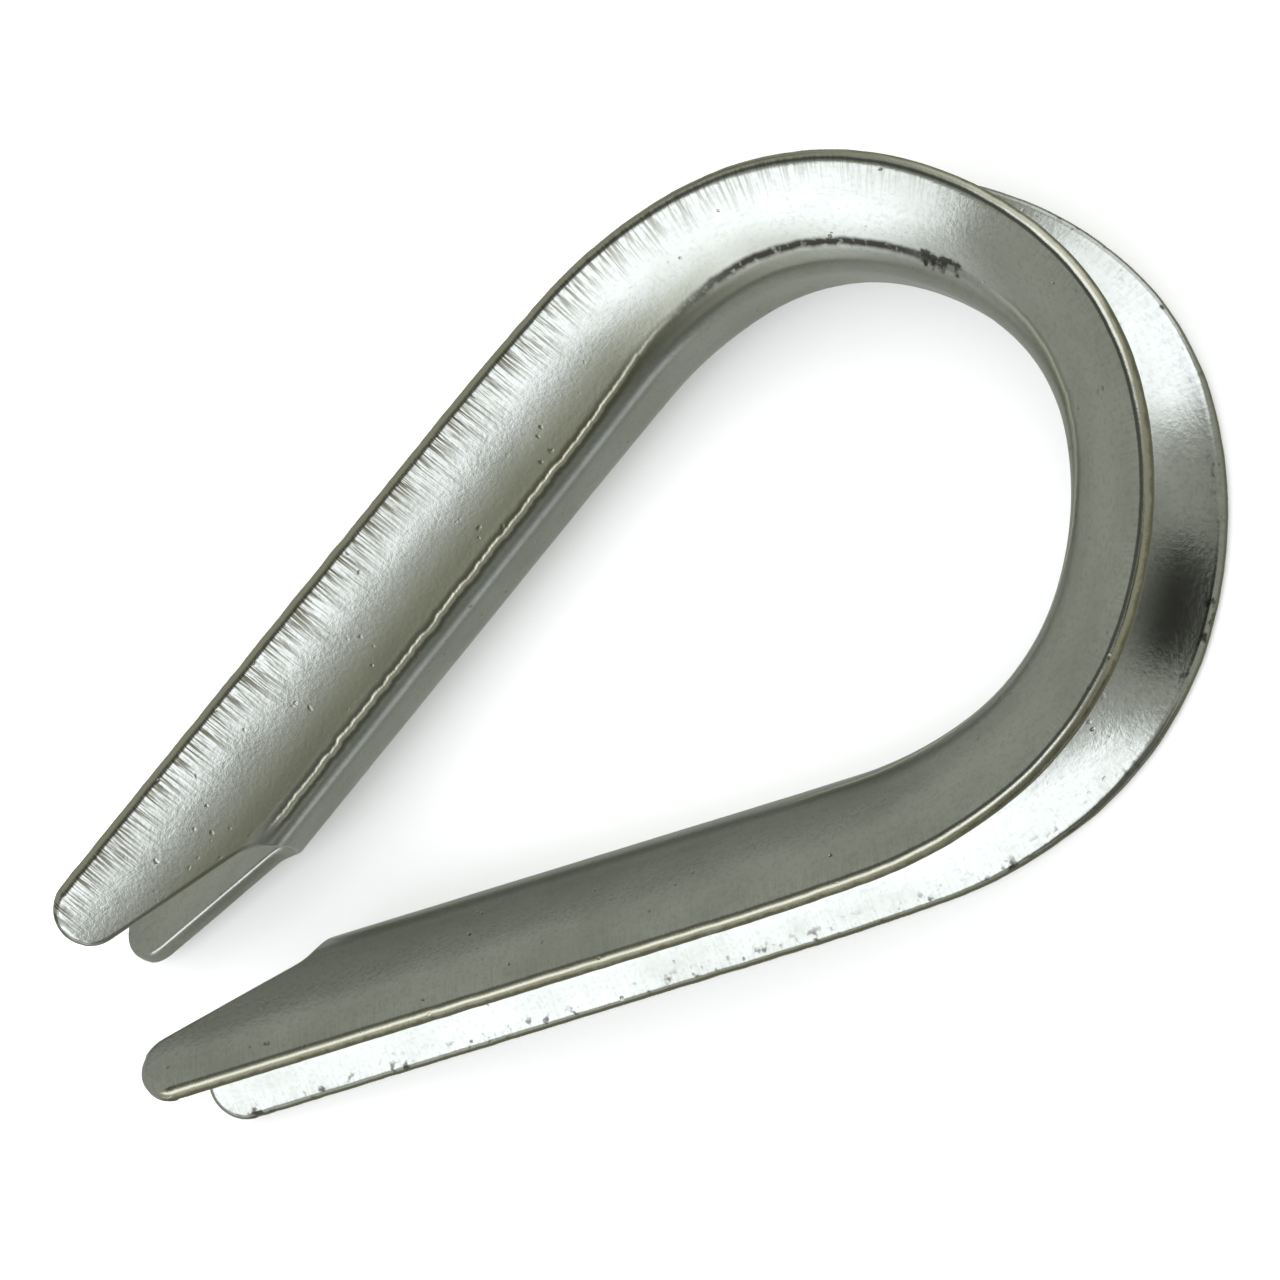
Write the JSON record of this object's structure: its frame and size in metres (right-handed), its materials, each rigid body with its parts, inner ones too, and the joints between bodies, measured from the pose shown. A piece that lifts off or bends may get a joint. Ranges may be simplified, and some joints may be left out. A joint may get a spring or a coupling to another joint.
{
  "type": "wire rope thimble",
  "caption": "Pear-shaped wire rope thimble with an open point: a U channel of bent stainless sheet that lines and protects a rope eye.",
  "frame": {"origin": "centre of the crown's arc, halfway between the two rims", "axes": "+Z through the eye, +X along the length from the open point to the crown, +Y across the legs"},
  "size_m": [0.0643, 0.0368, 0.011],
  "materials": {
    "stainless_sheet": "satin, tumbled after pressing"
  },
  "bodies": {
    "root": {"thimble": "stainless_sheet"}
  },
  "joints": []
}
